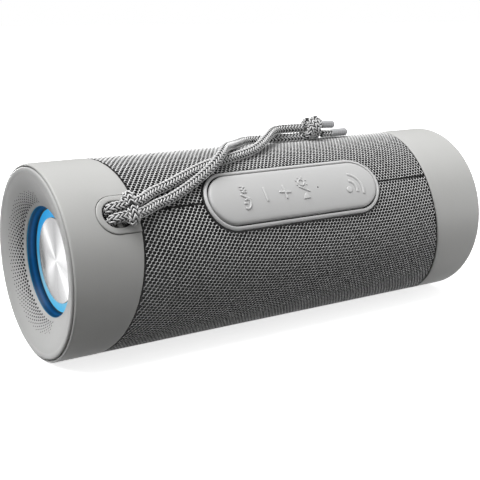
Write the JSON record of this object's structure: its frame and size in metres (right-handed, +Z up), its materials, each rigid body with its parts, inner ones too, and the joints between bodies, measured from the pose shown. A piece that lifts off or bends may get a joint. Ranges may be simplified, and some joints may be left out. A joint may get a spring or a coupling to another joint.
{
  "type": "portable bluetooth speaker",
  "caption": "Tube-shaped portable speaker with slanted end caps, lit dished ends, button panel, fabric sleeve, rear port flap and a knotted lanyard.",
  "frame": {"origin": "under the middle of the body, on the surface it stands on, measured without the lanyard", "axes": "+X along the body towards its right end, +Y towards the rear with the port, +Z up; the button panel faces the front, towards -Y and up"},
  "size_m": [0.201, 0.0772, 0.0862],
  "materials": {
    "cap_grey": "satin moulded plastic with a fine grain",
    "bezel_grey": "satin moulded plastic with graded perforations",
    "panel_grey": "satin moulded plastic",
    "skin_grey": "matte silicone",
    "fabric_grey": "open knit",
    "cord_grey": "two-tone round braid",
    "tip_grey": "moulded, satin",
    "light_blue": "clear blue, lit from behind",
    "deep_blue": "smooth, lit blue",
    "brushed_metal": "spun, radial sheen",
    "black_plastic": "plain moulded",
    "black_rubber": "matte",
    "grey_rubber": "matte silicone",
    "circuit_board": "coated glass-fibre board",
    "steel": "plated",
    "paper_cone": "pressed paper",
    "battery_wrap": "shrink-wrapped cell"
  },
  "bodies": {
    "speaker": {"audio_socket": "black_plastic", "battery_cell": "battery_wrap", "battery_holder": "black_plastic", "button_skin": "skin_grey", "charging_socket": "steel", "fabric_sleeve": "fabric_grey", "front_shell": "black_plastic", "key_board": "circuit_board", "lanyard_knot": "cord_grey", "lanyard_lower_strand": "cord_grey", "lanyard_lower_tip": "tip_grey", "lanyard_upper_strand": "cord_grey", "lanyard_upper_tip": "tip_grey", "left_bezel": "bezel_grey", "left_driver_basket": "steel", "left_driver_magnet": "steel", "left_driver_surround": "black_rubber", "left_end_cap": "cap_grey", "left_foot_pad": "black_rubber", "left_front_screw": "steel", "left_light_board": "circuit_board", "left_light_guide": "light_blue", "left_radiator_frame": "black_plastic", "left_radiator_surround": "black_rubber", "left_rear_screw": "steel", "left_tunnel_ring": "deep_blue", "main_board": "circuit_board", "microphone": "steel", "minus_switch": "black_plastic", "panel_bezel": "panel_grey", "play_switch": "black_plastic", "plus_switch": "black_plastic", "port_bezel": "panel_grey", "power_switch": "black_plastic", "rear_shell": "black_plastic", "right_bezel": "bezel_grey", "right_driver_basket": "steel", "right_driver_magnet": "steel", "right_driver_surround": "black_rubber", "right_end_cap": "cap_grey", "right_foot_pad": "black_rubber", "right_front_screw": "steel", "right_light_board": "circuit_board", "right_light_guide": "light_blue", "right_radiator_frame": "black_plastic", "right_radiator_surround": "black_rubber", "right_rear_screw": "steel", "right_tunnel_ring": "deep_blue"},
    "left_radiator": {"left_radiator_disc": "brushed_metal", "left_radiator_cup": "black_plastic"},
    "left_cone": {"left_driver_cone": "paper_cone"},
    "right_radiator": {"right_radiator_disc": "brushed_metal", "right_radiator_cup": "black_plastic"},
    "right_cone": {"right_driver_cone": "paper_cone"},
    "power_button": {"power_key": "skin_grey"},
    "minus_button": {"minus_key": "skin_grey"},
    "plus_button": {"plus_key": "skin_grey"},
    "play_button": {"play_key": "skin_grey"},
    "flap": {"port_flap": "grey_rubber"}
  },
  "joints": [
    {"name": "left_radiator_slide", "type": "slide", "parent": "speaker", "child": "left_radiator", "axis": [-1, 0, 0], "range_m": [-0.0018, 0.0018], "stiffness_N_per_m": 900},
    {"name": "left_cone_slide", "type": "slide", "parent": "speaker", "child": "left_cone", "axis": [0, -0.8829, -0.4695], "range_m": [-0.0012, 0.0012], "stiffness_N_per_m": 600},
    {"name": "right_radiator_slide", "type": "slide", "parent": "speaker", "child": "right_radiator", "axis": [1, 0, 0], "range_m": [-0.0018, 0.0018], "stiffness_N_per_m": 900},
    {"name": "right_cone_slide", "type": "slide", "parent": "speaker", "child": "right_cone", "axis": [0, -0.8829, -0.4695], "range_m": [-0.0012, 0.0012], "stiffness_N_per_m": 600},
    {"name": "power_press", "type": "slide", "parent": "speaker", "child": "power_button", "axis": [0, 0.809, -0.5878], "range_m": [0, 0.0004], "stiffness_N_per_m": 1500},
    {"name": "minus_press", "type": "slide", "parent": "speaker", "child": "minus_button", "axis": [0, 0.809, -0.5878], "range_m": [0, 0.0004], "stiffness_N_per_m": 1500},
    {"name": "plus_press", "type": "slide", "parent": "speaker", "child": "plus_button", "axis": [0, 0.809, -0.5878], "range_m": [0, 0.0004], "stiffness_N_per_m": 1500},
    {"name": "play_press", "type": "slide", "parent": "speaker", "child": "play_button", "axis": [0, 0.809, -0.5878], "range_m": [0, 0.0004], "stiffness_N_per_m": 1500},
    {"name": "flap_hinge", "type": "hinge", "parent": "speaker", "child": "flap", "pos_m": [0, 0.0375, 0.03335], "axis": [-1, 0, 0], "range_deg": [0, 100], "stiffness_Nm_per_rad": 0.004}
  ]
}
